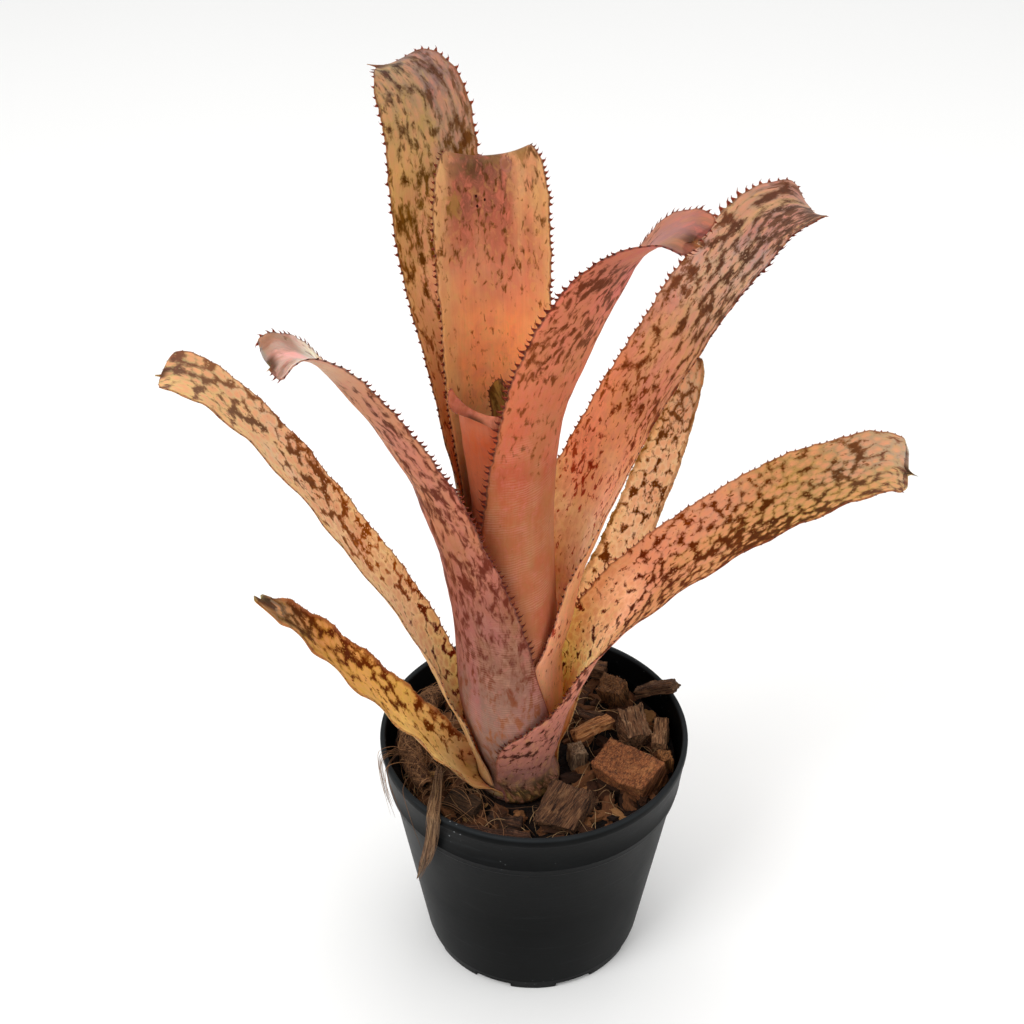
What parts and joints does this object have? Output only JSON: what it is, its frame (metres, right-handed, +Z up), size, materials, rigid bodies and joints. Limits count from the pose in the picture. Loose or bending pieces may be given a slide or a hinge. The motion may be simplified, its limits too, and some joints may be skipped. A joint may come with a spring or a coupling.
{
  "type": "potted bromeliad",
  "caption": "Potted kolan billbergia: mottled spiny strap leaves rolled round one another into an upright tube, growing in bark chips in a black nursery pot.",
  "frame": {"origin": "centre of the flat underside of the pot's floor, on the pot's axis", "axes": "+Z up along the pot axis, -Y towards the front, where the tube opens and the fibre strand hangs over the rim, +X to the right seen from the front"},
  "size_m": [0.3186, 0.181, 0.4479],
  "materials": {
    "pot": "semi-matt black, moulded",
    "stem": "rough, fibrous",
    "growing_mix": "rough, moist dark bark crumbs",
    "coir_wad": "matt brown fibre",
    "coir_strand": "matt brown fibre",
    "leaf_dying_front_left": "dry, mustard with an olive-brown net",
    "leaf_slim_back_right": "satin, peach with olive-brown mottling",
    "leaf_left": "satin, cream and peach blotches on a brown net",
    "leaf_right": "satin, peach and cream with olive-brown mottling",
    "leaf_front_left": "satin, dusky pink with grey-brown streaks",
    "leaf_back_right": "satin, coral to cream with dark olive-brown mottling",
    "leaf_front_centre": "satin, coral pink with fine pale bands across",
    "leaf_tall_back_left": "satin, pink and yellow-green with olive-brown streaks",
    "leaf_upright_back": "satin, glowing orange peach with a scurfy pink top",
    "leaf_inner_folded": "satin, olive in shade",
    "leaf_heart": "satin, pink with a pale rolled tip",
    "chip_cinnamon_block": "rough split bark, matt",
    "chip_grey_block": "rough split bark, matt",
    "chip_small_grey": "rough split bark, matt",
    "chip_lobed_left": "rough split bark, matt",
    "chip_lobed_right": "rough split bark, matt",
    "chip_pale_splinter": "rough split bark, matt",
    "chip_dark_splinter": "rough split bark, matt",
    "chip_forked": "rough split bark, matt",
    "chip_rim_long": "rough split bark, matt",
    "chip_back_splinter": "rough split bark, matt",
    "chip_right_small": "rough split bark, matt",
    "chip_front_strip": "rough split bark, matt",
    "chip_front_short": "rough split bark, matt",
    "chip_left_front": "rough split bark, matt"
  },
  "bodies": {
    "root": {"pot": "pot", "stem": "stem", "growing_mix": "growing_mix", "coir_wad": "coir_wad", "coir_strand": "coir_strand", "leaf_dying_front_left": "leaf_dying_front_left", "leaf_slim_back_right": "leaf_slim_back_right", "leaf_left": "leaf_left", "leaf_right": "leaf_right", "leaf_front_left": "leaf_front_left", "leaf_back_right": "leaf_back_right", "leaf_front_centre": "leaf_front_centre", "leaf_tall_back_left": "leaf_tall_back_left", "leaf_upright_back": "leaf_upright_back", "leaf_inner_folded": "leaf_inner_folded", "leaf_heart": "leaf_heart", "chip_cinnamon_block": "chip_cinnamon_block", "chip_grey_block": "chip_grey_block", "chip_small_grey": "chip_small_grey", "chip_lobed_left": "chip_lobed_left", "chip_lobed_right": "chip_lobed_right", "chip_pale_splinter": "chip_pale_splinter", "chip_dark_splinter": "chip_dark_splinter", "chip_forked": "chip_forked", "chip_rim_long": "chip_rim_long", "chip_back_splinter": "chip_back_splinter", "chip_right_small": "chip_right_small", "chip_front_strip": "chip_front_strip", "chip_front_short": "chip_front_short", "chip_left_front": "chip_left_front"}
  },
  "joints": []
}
